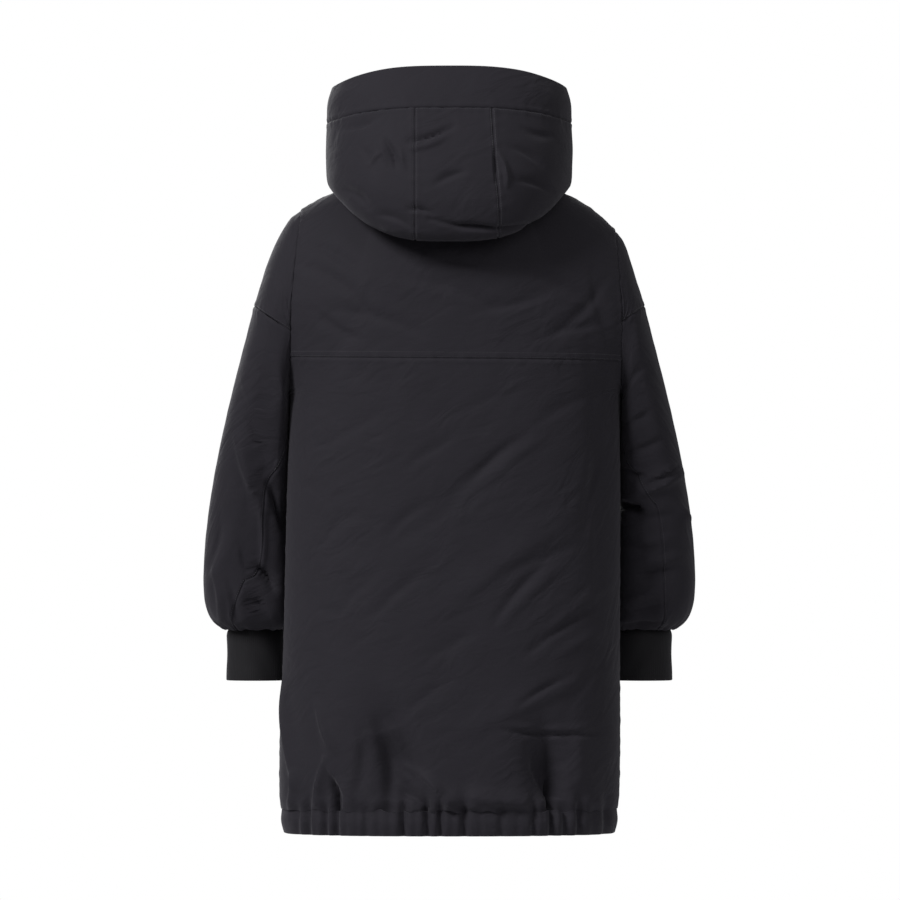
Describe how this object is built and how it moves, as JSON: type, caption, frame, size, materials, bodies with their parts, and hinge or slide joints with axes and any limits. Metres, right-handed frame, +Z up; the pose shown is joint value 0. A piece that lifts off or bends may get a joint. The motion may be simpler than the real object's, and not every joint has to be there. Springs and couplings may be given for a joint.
{
  "type": "parka",
  "caption": "Hooded thigh-length parka, filled out and hollow, with its hood down, a back yoke, dropped shoulders, a gathered elastic hem and plain knit cuffs.",
  "frame": {"origin": "middle of the neck opening, just below the back neck seam, where the wearer holds the garment up", "axes": "+Z up from the hem to the hood, -Y to the front of the garment, +X to the wearer's left"},
  "size_m": [0.6642, 0.3716, 1.0365],
  "materials": {
    "shell": "black woven shell cloth, matte with a faint sheen",
    "knit": "black fine knit, matte"
  },
  "bodies": {
    "root": {"back_lower": "shell", "back_yoke": "shell", "front_left": "shell", "front_right": "shell", "hem_casing_back": "shell", "hem_casing_front_left": "shell", "hem_casing_front_right": "shell", "storm_flap": "shell", "storm_flap_hood": "shell", "sleeve_cap_left": "shell", "sleeve_outer_left": "shell", "sleeve_under_left": "shell", "sleeve_cap_right": "shell", "sleeve_outer_right": "shell", "sleeve_under_right": "shell", "cuff_left": "knit", "cuff_right": "knit", "hood_centre": "shell", "hood_left": "shell", "hood_right": "shell", "hood_band": "shell"}
  },
  "joints": []
}
